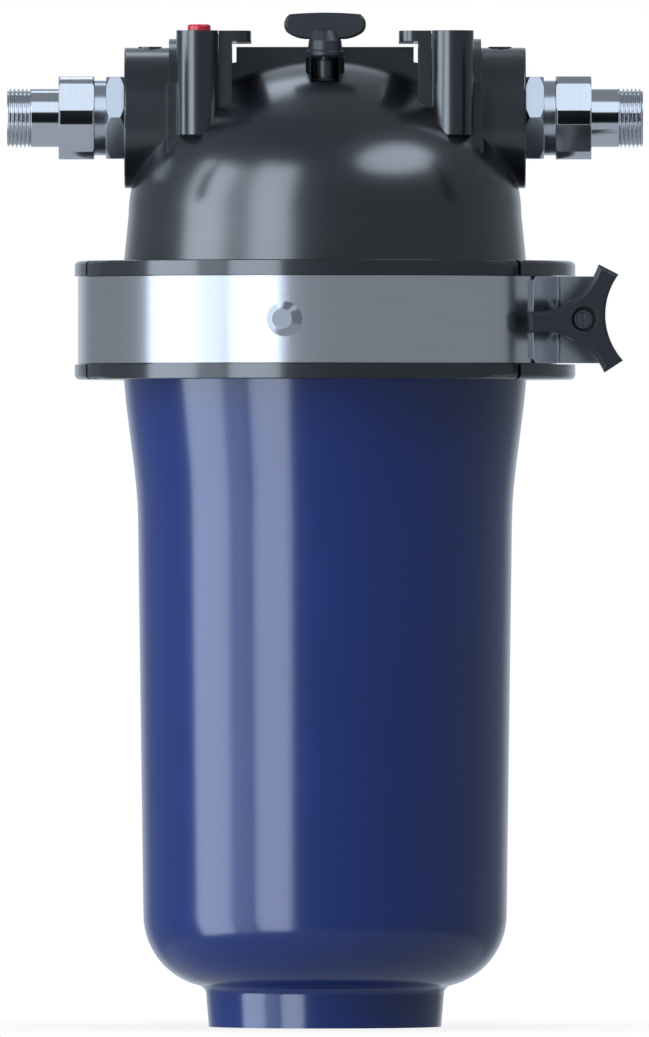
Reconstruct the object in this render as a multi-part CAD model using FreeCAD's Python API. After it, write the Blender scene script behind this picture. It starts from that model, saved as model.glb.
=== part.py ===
import FreeCAD, Part
import math
import os

# Sea water strainer: a blue bowl hangs under a black head in a band clamp.
# Water enters at the left union, falls through the basket and leaves at the right one.
# Millimetres.  Origin: centre of the foot's flat face.  +X outlet, +Y wall, +Z up.
# Heights named ..._RISE are above the joint plane between bowl and head.

V = FreeCAD.Vector
ORIGIN = V(0, 0, 0)
X_AXIS, Y_AXIS, Z_AXIS = V(1, 0, 0), V(0, 1, 0), V(0, 0, 1)
SIDES = {"left": -1, "right": 1}

# ---- Bowl ----------------------------------------------------------------
BOWL_HEIGHT = 397.9          # foot to joint plane
BOWL_WALL = 5.0
FOOT_RADIUS = 65.5
FOOT_DRAFT = 1.5             # how much wider the foot ring is where it meets the body
FOOT_RING = 9.0
FOOT_HEIGHT = 22.1           # underside of the body above the floor
FOOT_FILLET = 5.0
KNUCKLE_RADIUS = 41.0        # rounded bottom corner
BOWL_RADIUS = 102.4          # at the top of the rounded corner
BOWL_TAPER = 3.0             # the side widens by this up to the shoulder
SHOULDER_DROP = 112.4        # joint plane down to where the side starts to flare
NECK_RADIUS = 113.4          # where the bowl enters the clamp
NECK_FLARE = 1.3             # further widening inside the clamp

# ---- Joint flanges -------------------------------------------------------
FLANGE_RADIUS = 128.0
FLANGE_EDGE = 8.0            # straight edge of each flange
FLANGE_BACK = 6.7            # rise of the sloping back
SEAL_RADIUS = 119.0
SEAL_WIDTH = 4.6
SEAL_DEPTH = 3.4
SEAL_GAP = 0.2               # groove wider than its seal

# ---- Clamp ---------------------------------------------------------------
RIM_RADIUS = 141.1
RIM_HEIGHT = 8.5
RIM_ROUND = 3.0
RIM_RECESS = 1.3             # long rims are this much lower along their middle
BAND_RADIUS = 139.2
BAND_THICK = 2.0
BAND_HEIGHT = 48.8
BAND_GAP = 0.5               # between the band and each rim
FIT = 0.2                    # clearance of seated moulded pieces
LINER_CENTRE = -10.6         # degrees from the front towards the outlet
LINER_HALF = 60.6
RECESS_HALF = 49.0
RAMP = 3.0
SEGMENT_GAP = 1.2            # degrees between two segments
STUD_ANGLE = -9.4
STUD_BASE, STUD_TIP, STUD_HEIGHT = 9.95, 5.9, 9.0
STUD_SHANK, STUD_DEPTH = 4.0, 7.0

# ---- Clamp closure -------------------------------------------------------
SHEET = 2.0                  # bracket sheet
BEND_RADIUS = 4.0
FRONT_START, FRONT_BEND = 55.9, 66.9
TAB_ANGLE = 7.0              # tab leans back from straight across
TAB_END = 155.0              # X of the tab's free edge
TAB_CHAMFER = 3.2
BOLT_X = 140.5               # where the bolt passes the tab
BOLT_RADIUS = 4.0
BOLT_BEYOND = 35.0           # bolt past the tab
BOLT_SLOT = 1.0
EYE_RADIUS, EYE_HEIGHT = 7.5, 11.4
PIN_RADIUS = 4.0
PIN_FIT = 0.1
EYE_FIT = 0.4
REAR_REACH = 19.0            # degrees of rear bracket on the band
BAND_REAR_GAP = 5.2          # degrees from the pin to the band's rear end
SLOT_FIT = 0.6               # bolt in the tab's slot
WASHER_RADIUS, WASHER_THICK = 9.5, 1.6
WASHER_FIT = 0.3

# ---- Star knob -----------------------------------------------------------
KNOB_GAP = 0.3               # washer to hub
KNOB_STAND = 30.0            # tab to the back of the arms
KNOB_THICK = 8.0
KNOB_BEVEL = 1.9
KNOB_REACH = 31.4
KNOB_TIP = 6.1               # half width of an arm's end
KNOB_WAIST = 12.3            # centre to the hollow between two arms
KNOB_TURN = 3.0              # degrees by which the left arm points down
HUB_RADIUS, HUB_FRONT = 12.0, 11.3
HUB_CHAMFER = 3.0            # back edge of the hub, clear of the bracket's bend
INSERT_RADIUS = 5.3
INSERT_FIT = 0.05
KNOB_RECESS, KNOB_RECESS_DEPTH = 7.2, 5.0
INSERT_PROUD = 1.6           # insert above the floor of the recess

# ---- Head ----------------------------------------------------------------
HEAD_WALL = 5.0
SKIRT_RADIUS = 115.2
DOME_RADIUS = 110.7
DOME_BASE_RISE = 59.6
DOME_HEIGHT = 86.8
DOME_SIDE_RADIUS = 73.0      # the side's arc; the crown's arc follows from it
PORT_RISE = 114.1
PORT_RADIUS = 39.6
PORT_FACE = 113.0            # X of a port disc's outer face
PORT_DEPTH = 27.0            # starts inside the collar
PORT_ROUND = 0.9
COLLAR_RADIUS = 44.6         # thin flange behind each port disc
COLLAR_FROM, COLLAR_TO = 83.4, 87.9
BLOCK_HALF = 51.0            # port block, half its length along Y
BLOCK_TO = 89.0
BLOCK_RISE = 133.6
RAIL_FROM, RAIL_TO = 52.4, 59.8
RAIL_HALF = 54.5
RAIL_RISE = 162.5
LIP_THICK, LIP_TO, LIP_ROUND = 5.9, 41.6, 8.2
POST_X, POST_Y, POST_RADIUS = 71.8, 55.8, 11.7
POST_ROOT = 104.0
RIB_FRONT, RIB_REAR, RIB_THICK = 8.0, 44.0, 9.0
RIB_ARCH = 302.0             # radius of the ribs' top edge
BORE_RADIUS = 14.0           # waterway
DUCT_RADIUS = 19.0
SOCKET_RADIUS, SOCKET_RISE, SOCKET_FOOT_RISE = 57.0, 45.0, 10.0
CONE_RISE = 92.0             # where the duct starts to widen

# ---- Vent ----------------------------------------------------------------
VENT_Y = -39.0
VENT_RADIUS = 11.0
VENT_RISE = 147.7            # top of the boss
VENT_SLOT = 15.7
VENT_SLOT_DEPTH = 14.0
VENT_HOLE = 3.0
STEM_RADIUS = 5.0
STEM_NECK = 3.4
STEM_FIT = 0.05
STEM_TAIL = 8.0              # thread below the seal, in the vent hole
VENT_SEAL_HEIGHT = 2.0
VENT_KNOB_GAP = 0.3          # under the knob when the vent is shut on its seal
VENT_SEAL_RADIUS = 6.4
CROWN_RADIUS, CROWN_HEIGHT = 10.3, 3.7
NECK_TURNED, NECK_HEIGHT = 9.8, 6.2
WING_HALF, WING_HEIGHT, WING_THICK = 23.0, 14.9, 7.0
WING_ARCH = 0.9
WING_EDGE = 1.2
WING_ROOT, WING_CORE = 8.8, 6.3
WING_SIDE = ((0.72, 0.08), (0.93, 0.26), (1.0, 0.58), (0.86, 1.0))   # shares of half width and height
CROWN_EDGE, NECK_DRAFT, NECK_EDGE = 0.8, 0.6, 1.0
STEM_INTO_KNOB = 12.0

# ---- Indicator -----------------------------------------------------------
BUTTON_INSET = 1.1           # towards the middle from the post's axis
BUTTON_RADIUS, BUTTON_PROUD, BUTTON_BODY = 6.5, 3.4, 9.0
BUTTON_FIT = 0.05
BUTTON_ROUND = 1.4
BUTTON_GROOVE = 1.6
WELL_DEPTH = 24.0
SPRING_RADIUS, SPRING_WIRE, SPRING_TURNS = 4.4, 1.2, 5
SPRING_SIDES = 8             # the wire's section
BLEED_RADIUS = 1.5

# ---- Gauge plugs ---------------------------------------------------------
PLUG_RADIUS, PLUG_DEPTH, PLUG_PROUD = 6.6, 10.0, 0.5
PLUG_KEY, PLUG_KEY_DEPTH = 6.0, 5.0
PLUG_FROM_FACE = 14.4

# ---- Unions --------------------------------------------------------------
BODY_FLATS, BODY_HEX = 46.0, 10.3
HEX_CHAMFER, NUT_CHAMFER = 2.6, 0.8
HEX_SLOPE = 0.9              # length of a corner's cone to its depth
NECK_COLLAR, NECK_LENGTH = 21.1, 6.6
SPIGOT_RADIUS, SPIGOT_LENGTH = 16.6, 18.0
SPIGOT_FIT = 0.05
SPIGOT_ROOM = 2.0            # socket beyond the spigot's end
THREAD_RADIUS, THREAD_LENGTH = 19.0, 11.0
NUT_FLATS, NUT_CORNERS, NUT_LENGTH = 46.6, 24.9, 20.1
NUT_FIT = 0.08
NUT_SHOULDER = 3.4
GASKET_THICK = 1.5
TAIL_RADIUS, TAIL_LENGTH = 16.4, 15.7
TAIL_FLANGE = 18.4
PIPE_RADIUS, PIPE_LENGTH = 16.625, 13.4
PIPE_CHAMFER = 1.2

# ---- Basket --------------------------------------------------------------
BASKET_RADIUS, BASKET_WALL = 75.0, 2.5
BASKET_FOOT, BASKET_FOOT_HEIGHT = 50.0, 11.0
COLLAR_WALL, COLLAR_HEIGHT = 4.6, 18.0
COLLAR_FIT = 0.3
COLLAR_SEAL = 2.6
SLOT_COLUMNS, SLOT_ROWS = 20, 4
SLOT_WIDTH, SLOT_HEIGHT = 9.0, 62.0
HANDLE_WIRE, HANDLE_RISE = 2.5, 16.0
HANDLE_SEAT = 3.6            # ends of the handle above the shoulder
HANDLE_CLEAR = 1.0

# ---- Wall bracket --------------------------------------------------------
TONGUE_HALF, TONGUE_TOP_RISE = 50.0, 154.3
TONGUE_FRONT = 8.0
TONGUE_THICK = 4.4           # at the middle of the arch
WALL_Y = 158.0               # face that lies on the wall
WALL_PLATE = 6.0
PLATE_DROP, PLATE_HALF = 96.0, 50.0
WALL_HOLE = 4.5
HOLE_PITCH_X, HOLE_PITCH_Z, HOLE_TOP = 70.0, 50.0, 28.0

# ---- Worked out from the sizes above --------------------------------------
JOINT_Z = BOWL_HEIGHT
PORT_Z = JOINT_Z + PORT_RISE
LINER_HALF_HEIGHT = BAND_HEIGHT / 2 + BAND_GAP + RIM_HEIGHT
LINER_BORE = SKIRT_RADIUS + FIT
BAND_INNER = BAND_RADIUS - BAND_THICK
CORE_RADIUS = BAND_INNER - FIT / 2
LOOP_RADIUS = PIN_RADIUS + PIN_FIT + SHEET / 2
HEAD_BORE = SKIRT_RADIUS - HEAD_WALL


# ---- Small builders ------------------------------------------------------
def outline(place, start, *moves):
    """A closed face.  A move is a point, or (middle, end) for an arc; place makes (u, v) a vector."""
    edges, here = [], start
    for move in moves + (start,):
        if isinstance(move[0], tuple):
            edges.append(Part.Arc(place(here), place(move[0]), place(move[1])).toShape())
            here = move[1]
        elif math.dist(here, move) > 1e-6:
            edges.append(Part.LineSegment(place(here), place(move)).toShape())
            here = move
    return Part.Face(Part.Wire(edges))


def section(start, *moves):
    """A face in the half plane of (radius, z), ready to be turned about Z."""
    return outline(lambda p: V(p[0], 0, p[1]), start, *moves)


def plan(z, start, *moves):
    """A face in the horizontal plane at height z."""
    return outline(lambda p: V(p[0], p[1], z), start, *moves)


def turned(face, degrees=360.0):
    return face.revolve(ORIGIN, Z_AXIS, degrees)


def ring(outer, inner, z_from, z_to):
    """A tube about Z."""
    return turned(section((inner, z_from), (outer, z_from), (outer, z_to), (inner, z_to)))


def rod(radius, length, base, axis=Z_AXIS):
    return Part.makeCylinder(radius, length, base, axis)


def box(x, y, z):
    """A box from three (low, high) pairs."""
    low = V(x[0], y[0], z[0])
    return Part.makeBox(x[1] - x[0], y[1] - y[0], z[1] - z[0], low)


def spun(shape, degrees, centre=ORIGIN, axis=Z_AXIS):
    copy = shape.copy()
    copy.rotate(centre, axis, degrees)
    return copy


def moved(shape, x=0.0, y=0.0, z=0.0):
    copy = shape.copy()
    copy.translate(V(x, y, z))
    return copy


def flipped(shape, normal, height=0.0):
    return shape.mirror(V(0, 0, height), normal)


def from_front(shape, degrees):
    """Turn a piece made along +X so that it lies this far from the front, towards the outlet."""
    return spun(shape, degrees - 90)


def wedge(shape_section, centre, half):
    """A turned piece that covers centre +/- half degrees from the front."""
    return from_front(turned(shape_section, 2 * half), centre - half)


def bevelled(wire_at, low, high, bevel):
    """A slab from low to high whose two outlines, wire_at(place, inset), are bevelled."""
    steps = [(low, bevel), (low + bevel, 0), (high - bevel, 0), (high, bevel)]
    wires = [wire_at(place, inset) for place, inset in steps]
    parts = [Part.makeLoft([a, b], True, True) for a, b in zip(wires, wires[1:])]
    return parts[0].multiFuse(parts[1:])


def arc_middle(centre, a, b):
    """The point midway between a and b on the short arc about centre."""
    radius = math.dist(centre, a)
    u = (a[0] + b[0]) / 2 - centre[0]
    v = (a[1] + b[1]) / 2 - centre[1]
    size = math.hypot(u, v)
    return (centre[0] + u * radius / size, centre[1] + v * radius / size)


def polar(radius, degrees):
    return (radius * math.cos(math.radians(degrees)), radius * math.sin(math.radians(degrees)))


def bent_sheet(start, heading, moves, thick):
    """Plan outline of a bent sheet.  A move is ("run", length) or ("bend", radius, degrees left)."""
    def at(x, y, angle, offset):
        return (x - offset * math.sin(angle), y + offset * math.cos(angle))

    x, y, angle = start[0], start[1], math.radians(heading)
    left, right = [at(x, y, angle, thick / 2)], [at(x, y, angle, -thick / 2)]
    for move in moves:
        if move[0] == "run":
            x, y = x + move[1] * math.cos(angle), y + move[1] * math.sin(angle)
            left.append(at(x, y, angle, thick / 2))
            right.append(at(x, y, angle, -thick / 2))
            continue
        side = math.copysign(1.0, move[2])
        cx, cy = at(x, y, angle, side * move[1])
        half = angle + math.radians(move[2]) / 2
        mx, my = at(cx, cy, half, -side * move[1])
        angle += math.radians(move[2])
        x, y = at(cx, cy, angle, -side * move[1])
        for points, offset in ((left, thick / 2), (right, -thick / 2)):
            points.append((at(mx, my, half, offset), at(x, y, angle, offset)))
    ends = [p[1] if isinstance(p[0], tuple) else p for p in right]
    back = [ends[-1]]
    for index in range(len(right) - 1, 0, -1):
        piece = right[index]
        back.append((piece[0], ends[index - 1]) if isinstance(piece[0], tuple) else ends[index - 1])
    return left[0], left[1:] + back


# ---- Bowl and its seal ----------------------------------------------------
def bowl_outside(grow):
    """Side of the bowl from the rounded corner to the flange, moved in by grow."""
    shoulder = BOWL_RADIUS + BOWL_TAPER
    top = JOINT_Z - LINER_HALF_HEIGHT
    low = JOINT_Z - SHOULDER_DROP
    third = (top - low) / 3
    corner = FOOT_HEIGHT + KNUCKLE_RADIUS
    taper = BOWL_TAPER / (low - corner)
    neck_slope = NECK_FLARE / (LINER_HALF_HEIGHT - FLANGE_EDGE - FLANGE_BACK)
    poles = [V(shoulder - grow, 0, low),
             V(shoulder + taper * third - grow, 0, low + third),
             V(NECK_RADIUS - neck_slope * third - grow, 0, top - third),
             V(NECK_RADIUS - grow, 0, top)]
    curve = Part.BezierCurve()
    curve.setPoles(poles)
    return curve.toShape()


def line(a, b):
    return Part.LineSegment(V(a[0], 0, a[1]), V(b[0], 0, b[1])).toShape()


def arc(a, middle, b):
    return Part.Arc(V(a[0], 0, a[1]), V(middle[0], 0, middle[1]), V(b[0], 0, b[1])).toShape()


def make_bowl():
    corner = (BOWL_RADIUS - KNUCKLE_RADIUS, FOOT_HEIGHT + KNUCKLE_RADIUS)
    low, top = JOINT_Z - SHOULDER_DROP, JOINT_Z - LINER_HALF_HEIGHT
    shoulder = BOWL_RADIUS + BOWL_TAPER
    back = JOINT_Z - FLANGE_EDGE - FLANGE_BACK
    foot_top = FOOT_RADIUS + FOOT_DRAFT
    reach = KNUCKLE_RADIUS + FOOT_FILLET
    across = foot_top + FOOT_FILLET - corner[0]
    fillet = (foot_top + FOOT_FILLET, corner[1] - math.sqrt(reach ** 2 - across ** 2))
    share = KNUCKLE_RADIUS / reach
    on_foot = (foot_top, fillet[1])
    on_corner = (corner[0] + across * share, corner[1] + (fillet[1] - corner[1]) * share)
    side = (BOWL_RADIUS, corner[1])
    inner = KNUCKLE_RADIUS - BOWL_WALL
    floor = FOOT_HEIGHT + BOWL_WALL
    inner_side = (BOWL_RADIUS - BOWL_WALL, corner[1])
    inner_floor = (corner[0], floor)
    foot_inner = FOOT_RADIUS - FOOT_RING
    mouth = NECK_RADIUS + NECK_FLARE - BOWL_WALL
    edges = [line((foot_inner, 0), (FOOT_RADIUS, 0)),
             line((FOOT_RADIUS, 0), on_foot),
             arc(on_foot, arc_middle(fillet, on_foot, on_corner), on_corner),
             arc(on_corner, arc_middle(corner, on_corner, side), side),
             line(side, (shoulder, low)),
             bowl_outside(0),
             line((NECK_RADIUS, top), (NECK_RADIUS + NECK_FLARE, back)),
             line((NECK_RADIUS + NECK_FLARE, back), (FLANGE_RADIUS, JOINT_Z - FLANGE_EDGE)),
             line((FLANGE_RADIUS, JOINT_Z - FLANGE_EDGE), (FLANGE_RADIUS, JOINT_Z)),
             line((FLANGE_RADIUS, JOINT_Z), (mouth, JOINT_Z)),
             line((mouth, JOINT_Z), (mouth, back)),
             line((mouth, back), (NECK_RADIUS - BOWL_WALL, top)),
             bowl_outside(BOWL_WALL),
             line((shoulder - BOWL_WALL, low), inner_side),
             arc(inner_side, arc_middle(corner, inner_side, inner_floor), inner_floor),
             line(inner_floor, (0, floor)),
             line((0, floor), (0, FOOT_HEIGHT)),
             line((0, FOOT_HEIGHT), (foot_inner, FOOT_HEIGHT)),
             line((foot_inner, FOOT_HEIGHT), (foot_inner, 0))]
    body = turned(Part.Face(Part.Wire(edges)))
    groove = SEAL_WIDTH / 2 + SEAL_GAP
    return body.cut(ring(SEAL_RADIUS + groove, SEAL_RADIUS - groove, JOINT_Z - SEAL_DEPTH, JOINT_Z))


def oval_seal(radius, width, low, high):
    """A squeezed O-ring: bulged sides, flat where it is pressed."""
    half, bulge, mid = width / 2, (high - low) / 2, (low + high) / 2
    flat = max(half - bulge, half * 0.2)
    return turned(section((radius - flat, low), (radius + flat, low), (radius + half, mid),
                          (radius + flat, high), (radius - flat, high), (radius - half, mid)))


# ---- Clamp ---------------------------------------------------------------
def liner_section():
    """Black segment: a rim above and below the band and a V-groove for the two flanges."""
    rim, out, edge = LINER_HALF_HEIGHT, RIM_RADIUS, BAND_HEIGHT / 2 + BAND_GAP
    bottom, back = FLANGE_RADIUS + FIT, FLANGE_EDGE + FLANGE_BACK + FIT
    c = out - RIM_ROUND
    z = JOINT_Z
    k = RIM_ROUND * math.sqrt(0.5)
    return section((LINER_BORE, z - rim), (c, z - rim),
                   ((c + k, z - rim + RIM_ROUND - k), (out, z - rim + RIM_ROUND)),
                   (out, z - edge), (CORE_RADIUS, z - edge),
                   (CORE_RADIUS, z + edge), (out, z + edge), (out, z + rim - RIM_ROUND),
                   ((c + k, z + rim - RIM_ROUND + k), (c, z + rim)), (LINER_BORE, z + rim),
                   (LINER_BORE, z + back), (bottom, z + FLANGE_EDGE + FIT),
                   (bottom, z - FLANGE_EDGE - FIT), (LINER_BORE, z - back))


def rim_recess():
    """What is taken off the middle of a long segment's rims, with a ramp at each end."""
    low, high = RIM_RADIUS - RIM_RECESS, RIM_RADIUS + RIM_RECESS
    front = LINER_CENTRE - 90
    a, b = front - RECESS_HALF, front + RECESS_HALF
    face = plan(JOINT_Z - LINER_HALF_HEIGHT, polar(low, a), (polar(low, front), polar(low, b)),
                polar(high, b + 2 * RAMP), (polar(high, front), polar(high, a - 2 * RAMP)))
    return face.extrude(V(0, 0, 2 * LINER_HALF_HEIGHT))


def stud_on(angle, grow=0.0):
    """Stud with a tapered head outside the band and a shank into the liner."""
    base = BAND_RADIUS + STUD_HEIGHT
    seat = math.sqrt(BAND_RADIUS ** 2 - STUD_BASE ** 2)
    head = Part.makeCone(STUD_BASE, STUD_TIP, base - seat, V(seat, 0, JOINT_Z), X_AXIS)
    head = head.cut(ring(BAND_RADIUS, 1.0, JOINT_Z - BAND_HEIGHT, JOINT_Z + BAND_HEIGHT))
    start = BAND_INNER - STUD_DEPTH
    shank = rod(STUD_SHANK + grow, BAND_RADIUS + 1 - start, V(start, 0, JOINT_Z), X_AXIS)
    return from_front(head.fuse(shank), angle)


def long_liner():
    segment = wedge(liner_section(), LINER_CENTRE, LINER_HALF).cut(rim_recess())
    return segment.cut(stud_on(STUD_ANGLE, FIT))


def short_liner(low, high):
    return wedge(liner_section(), (low + high) / 2, (high - low) / 2)


def pin_place():
    """The bolt's line meets the circle on which the rear loop's centre lies."""
    reach = BAND_RADIUS + SHEET / 2 + LOOP_RADIUS
    x, y = bolt_at_tab()
    dx, dy = bolt_direction()
    along = -(x * dx + y * dy)
    away = math.sqrt(reach ** 2 - (x * dy - y * dx) ** 2)
    back = along - away
    return (x + dx * back, y + dy * back)


def bolt_direction():
    """Towards the knob."""
    return (math.sin(math.radians(TAB_ANGLE)), -math.cos(math.radians(TAB_ANGLE)))


def tab_start():
    """Middle of the sheet where the front bracket's bend ends."""
    x, y = polar(BAND_RADIUS + SHEET / 2, FRONT_BEND - 90)
    bend = math.radians(FRONT_BEND)
    cx, cy = x + BEND_RADIUS * math.sin(bend), y - BEND_RADIUS * math.cos(bend)
    tab = math.radians(TAB_ANGLE)
    return (cx - BEND_RADIUS * math.sin(tab), cy + BEND_RADIUS * math.cos(tab))


def bolt_at_tab():
    """Where the bolt's axis passes the tab's front face."""
    x, y = tab_start()
    dx, dy = bolt_direction()
    y += (BOLT_X - x) * math.tan(math.radians(TAB_ANGLE))
    return (BOLT_X + dx * SHEET / 2, y + dy * SHEET / 2)


def along_bolt(shape):
    """Carry a piece made up +Z from the origin to the tab's front face, along the bolt."""
    copy = spun(shape, 90, ORIGIN, X_AXIS)
    copy.rotate(ORIGIN, Z_AXIS, TAB_ANGLE)
    x, y = bolt_at_tab()
    copy.translate(V(x, y, JOINT_Z))
    return copy


def band_rear_end():
    """Degrees from the front at which the band ends behind the bolt."""
    x, y = pin_place()
    return math.degrees(math.atan2(x, -y)) + BAND_REAR_GAP


def make_band():
    half = BAND_HEIGHT / 2
    face = section((BAND_INNER, JOINT_Z - half), (BAND_RADIUS, JOINT_Z - half),
                   (BAND_RADIUS, JOINT_Z + half), (BAND_INNER, JOINT_Z + half))
    start, end = band_rear_end(), 360 + FRONT_BEND
    band = wedge(face, (start + end) / 2, (end - start) / 2)
    for angle in (STUD_ANGLE, 180 - STUD_ANGLE):
        hole = rod(STUD_SHANK + FIT, BAND_THICK * 3, V(BAND_INNER - BAND_THICK, 0, JOINT_Z), X_AXIS)
        band = band.cut(from_front(hole, angle))
    return band


def make_front_bracket():
    radius = BAND_RADIUS + SHEET / 2
    x, _ = tab_start()
    run = (TAB_END - x) / math.cos(math.radians(TAB_ANGLE))
    moves = [("bend", radius, FRONT_BEND - FRONT_START),
             ("bend", BEND_RADIUS, TAB_ANGLE - FRONT_BEND), ("run", run)]
    start, shape = bent_sheet(polar(radius, FRONT_START - 90), FRONT_START, moves, SHEET)
    low = JOINT_Z - BAND_HEIGHT / 2
    bracket = plan(low, start, *shape).extrude(V(0, 0, BAND_HEIGHT))
    for z in (low, low + BAND_HEIGHT):
        half = TAB_CHAMFER / 2
        corner = box((-1.5 * SHEET, 1.5 * SHEET), (-half, half), (-half, half))
        corner = spun(corner, 45, ORIGIN, X_AXIS)
        corner.translate(V(radius, 0, z))
        bracket = bracket.cut(from_front(corner, FRONT_START))
    slot = BOLT_RADIUS + SLOT_FIT
    opening = rod(slot, 6 * SHEET, V(0, 0, -3 * SHEET))
    opening = opening.fuse(box((0, 2 * TAB_END), (-slot, slot), (-3 * SHEET, 3 * SHEET)))
    return bracket.cut(along_bolt(opening))


def make_rear_bracket():
    """Strip on the band whose end is rolled into a loop about the pin, notched for the eye."""
    radius = BAND_RADIUS + SHEET / 2
    x, y = pin_place()
    pin_angle = math.degrees(math.atan2(x, -y))
    closed = (LOOP_RADIUS - SHEET / 2 - FIT) / (LOOP_RADIUS + SHEET / 2)
    roll = 360 - math.degrees(math.acos(closed))
    begin = pin_angle + REAR_REACH
    moves = [("bend", radius, -REAR_REACH), ("bend", LOOP_RADIUS, roll)]
    start, shape = bent_sheet(polar(radius, begin - 90), begin - 180, moves, SHEET)
    half = BAND_HEIGHT / 2
    bracket = plan(JOINT_Z - half, start, *shape).extrude(V(0, 0, BAND_HEIGHT))
    gap = EYE_HEIGHT / 2 + EYE_FIT
    notch = rod(EYE_RADIUS + 2 * EYE_FIT, 2 * gap, V(x, y, JOINT_Z - gap))
    reach = 3 * EYE_RADIUS
    channel = box((0, reach), (-EYE_RADIUS, EYE_RADIUS), (-gap, gap))
    channel = spun(channel, TAB_ANGLE - 90)
    channel.translate(V(x, y, JOINT_Z))
    return bracket.cut(notch.fuse(channel))


def make_bolt():
    x, y = pin_place()
    tab = bolt_at_tab()
    length = math.dist((x, y), tab)
    shank = rod(BOLT_RADIUS, length + BOLT_BEYOND, V(0, 0, -length))
    slot = box((-BOLT_SLOT / 2, BOLT_SLOT / 2), (-BOLT_RADIUS, BOLT_RADIUS),
               (BOLT_BEYOND - BOLT_SLOT, BOLT_BEYOND + BOLT_SLOT))
    bolt = along_bolt(shank.cut(slot))
    eye = rod(EYE_RADIUS, EYE_HEIGHT, V(x, y, JOINT_Z - EYE_HEIGHT / 2))
    hole = rod(PIN_RADIUS + PIN_FIT, 2 * EYE_HEIGHT, V(x, y, JOINT_Z - EYE_HEIGHT))
    return bolt.fuse(eye).cut(hole)


def make_pin():
    x, y = pin_place()
    return rod(PIN_RADIUS, BAND_HEIGHT, V(x, y, JOINT_Z - BAND_HEIGHT / 2))


def right_liner(start, end):
    """The segment behind the bolt: pocketed between its rims, and slotted where the bolt runs."""
    segment = short_liner(start, end)
    low, high = FRONT_BEND + 1, band_rear_end() - 1
    edge = BAND_HEIGHT / 2 + BAND_GAP
    floor = FLANGE_RADIUS + FIT + BAND_THICK
    pocket = section((floor, JOINT_Z - edge), (RIM_RADIUS + 1, JOINT_Z - edge),
                     (RIM_RADIUS + 1, JOINT_Z + edge), (floor, JOINT_Z + edge))
    half = BOLT_RADIUS + SLOT_FIT
    slot = section((FLANGE_RADIUS - 1, JOINT_Z - half), (RIM_RADIUS, JOINT_Z - half),
                   (RIM_RADIUS, JOINT_Z + half), (FLANGE_RADIUS - 1, JOINT_Z + half))
    for face in (pocket, slot):
        segment = segment.cut(wedge(face, (low + high) / 2, (high - low) / 2))
    return segment


# ---- Star knob -----------------------------------------------------------
def star(z, inset):
    """Three arms with hollow sides between them, every edge moved in by inset."""
    reach, half, waist = KNOB_REACH - inset, KNOB_TIP - inset, KNOB_WAIST - inset
    tip = math.hypot(reach, half)
    spread = math.degrees(math.atan2(half, reach))
    moves, first = [], polar(tip, 180 + KNOB_TURN - spread)
    for arm in range(3):
        angle = 180 + KNOB_TURN + 120 * arm
        moves.append(polar(tip, angle + spread))
        moves.append((polar(waist, angle + 60), polar(tip, angle + 120 - spread)))
    return plan(z, first, *moves).OuterWire


def make_knob():
    back, front = KNOB_STAND, KNOB_STAND + KNOB_THICK
    arms = bevelled(star, back, front, KNOB_BEVEL)
    base = WASHER_THICK + KNOB_GAP
    hub = turned(section((0, base), (HUB_RADIUS - HUB_CHAMFER, base), (HUB_RADIUS, base + HUB_CHAMFER),
                         (HUB_FRONT, back + KNOB_BEVEL), (0, back + KNOB_BEVEL)))
    bore = rod(INSERT_RADIUS + INSERT_FIT, front, V(0, 0, 0))
    recess = rod(KNOB_RECESS, KNOB_RECESS_DEPTH, V(0, 0, front - KNOB_RECESS_DEPTH))
    return along_bolt(arms.fuse(hub).removeSplitter().cut(bore).cut(recess))


def make_insert():
    base = WASHER_THICK + KNOB_GAP / 2
    end = KNOB_STAND + KNOB_THICK - KNOB_RECESS_DEPTH + INSERT_PROUD
    body = rod(INSERT_RADIUS, end - base, V(0, 0, base))
    return along_bolt(body.cut(rod(BOLT_RADIUS + INSERT_FIT, end, V(0, 0, 0))))


def make_washer():
    body = rod(WASHER_RADIUS, WASHER_THICK, ORIGIN)
    return along_bolt(body.cut(rod(BOLT_RADIUS + WASHER_FIT, WASHER_THICK, ORIGIN)))


# ---- Head ----------------------------------------------------------------
def dome(grow):
    """Side arc and crown arc from the dome's base to its apex, moved in by grow."""
    base, side = JOINT_Z + DOME_BASE_RISE, DOME_SIDE_RADIUS
    crown = (DOME_RADIUS ** 2 + DOME_HEIGHT ** 2 - 2 * DOME_RADIUS * side) / (2 * (DOME_HEIGHT - side))
    side_centre, crown_centre = (DOME_RADIUS - side, base), (0, base + DOME_HEIGHT - crown)
    lean = math.atan2(crown - DOME_HEIGHT, DOME_RADIUS - side)
    meet = (side_centre[0] + (side - grow) * math.cos(lean), base + (side - grow) * math.sin(lean))
    start, apex = (DOME_RADIUS - grow, base), (0, base + DOME_HEIGHT - grow)
    return [arc(start, arc_middle(side_centre, start, meet), meet),
            arc(meet, arc_middle(crown_centre, meet, apex), apex)]


def shell_solid(grow, profile):
    base = JOINT_Z + DOME_BASE_RISE
    edges = [line(a, b) for a, b in zip(profile, profile[1:])]
    edges += [line(profile[-1], (DOME_RADIUS - grow, base))] + dome(grow)
    edges += [line((0, base + DOME_HEIGHT - grow), (0, JOINT_Z)), line((0, JOINT_Z), profile[0])]
    return turned(Part.Face(Part.Wire(edges)))


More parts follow.
